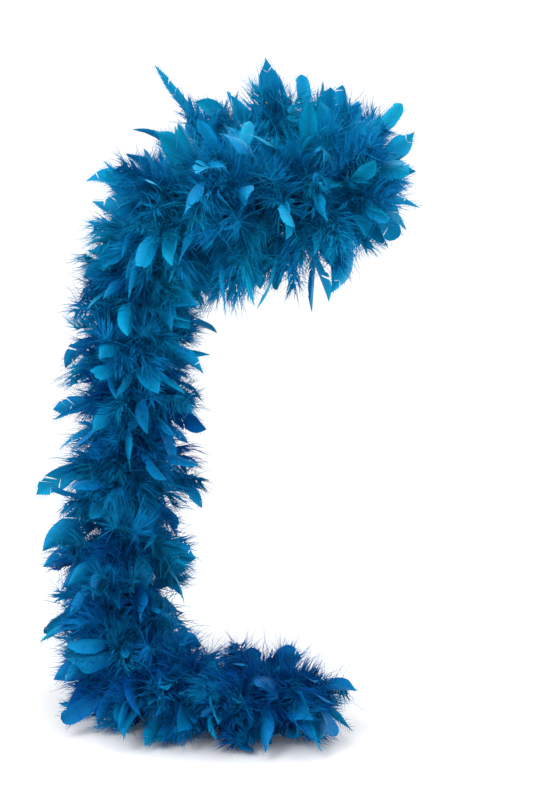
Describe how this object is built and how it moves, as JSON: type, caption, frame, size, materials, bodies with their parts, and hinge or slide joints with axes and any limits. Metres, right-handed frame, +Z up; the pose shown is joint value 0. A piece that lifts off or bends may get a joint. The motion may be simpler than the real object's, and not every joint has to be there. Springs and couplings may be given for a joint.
{
  "type": "feather boa",
  "caption": "Long fluffy feather boa on a twisted cord, looped once round a neck opening, one short end behind, a long tail hanging to the floor and turning along it",
  "frame": {"origin": "middle of the neck that the boa goes round, at shoulder height, 613 mm above the floor", "axes": "+X to the right of the viewer who faces the wearer, +Y away from the viewer, +Z up"},
  "size_m": [0.5051, 0.5571, 0.8649],
  "materials": {
    "core_cord": "twisted two-ply dyed cord",
    "down": "dyed fluffy down",
    "plume": "dyed satin feather vane",
    "thread": "wound sewing thread"
  },
  "bodies": {
    "back_end": {"core_back_end": "core_cord", "down_back_end_1": "down", "down_back_end_2": "down", "plumes_back_end_1": "plume", "plumes_back_end_2": "plume", "whipping_back": "thread", "knot_back": "core_cord"},
    "neck_loop": {"core_neck_loop": "core_cord", "down_neck_loop_1": "down", "down_neck_loop_10": "down", "down_neck_loop_11": "down", "down_neck_loop_12": "down", "down_neck_loop_2": "down", "down_neck_loop_3": "down", "down_neck_loop_4": "down", "down_neck_loop_5": "down", "down_neck_loop_6": "down", "down_neck_loop_7": "down", "down_neck_loop_8": "down", "down_neck_loop_9": "down", "plumes_neck_loop_1": "plume", "plumes_neck_loop_10": "plume", "plumes_neck_loop_11": "plume", "plumes_neck_loop_12": "plume", "plumes_neck_loop_2": "plume", "plumes_neck_loop_3": "plume", "plumes_neck_loop_4": "plume", "plumes_neck_loop_5": "plume", "plumes_neck_loop_6": "plume", "plumes_neck_loop_7": "plume", "plumes_neck_loop_8": "plume", "plumes_neck_loop_9": "plume"},
    "upper_tail": {"core_upper_tail": "core_cord", "down_upper_tail_1": "down", "down_upper_tail_2": "down", "down_upper_tail_3": "down", "down_upper_tail_4": "down", "plumes_upper_tail_1": "plume", "plumes_upper_tail_2": "plume", "plumes_upper_tail_3": "plume", "plumes_upper_tail_4": "plume"},
    "lower_tail": {"core_lower_tail": "core_cord", "down_lower_tail_1": "down", "down_lower_tail_2": "down", "down_lower_tail_3": "down", "down_lower_tail_4": "down", "plumes_lower_tail_1": "plume", "plumes_lower_tail_2": "plume", "plumes_lower_tail_3": "plume", "plumes_lower_tail_4": "plume"},
    "floor_end": {"core_floor_end": "core_cord", "down_floor_end_1": "down", "down_floor_end_2": "down", "down_floor_end_3": "down", "plumes_floor_end_1": "plume", "plumes_floor_end_2": "plume", "plumes_floor_end_3": "plume", "whipping_floor": "thread", "knot_floor": "core_cord"}
  },
  "joints": [
    {"name": "back_end_swing", "type": "hinge", "parent": "neck_loop", "child": "back_end", "pos_m": [-0.1825, 0.1425, -0.037], "axis": [1, 0, 0], "range_deg": [0, 20]},
    {"name": "tail_swing", "type": "hinge", "parent": "neck_loop", "child": "upper_tail", "pos_m": [-0.159, -0.055, -0.023], "axis": [0, -1, 0], "range_deg": [0, 20]},
    {"name": "tail_bend", "type": "hinge", "parent": "upper_tail", "child": "lower_tail", "pos_m": [-0.183, -0.0405, -0.293], "axis": [-1, 0, 0], "range_deg": [0, 20]},
    {"name": "floor_end_lift", "type": "hinge", "parent": "lower_tail", "child": "floor_end", "pos_m": [-0.137, -0.185, -0.5515], "axis": [-0.6293, -0.7772, 0], "range_deg": [0, 20]}
  ]
}
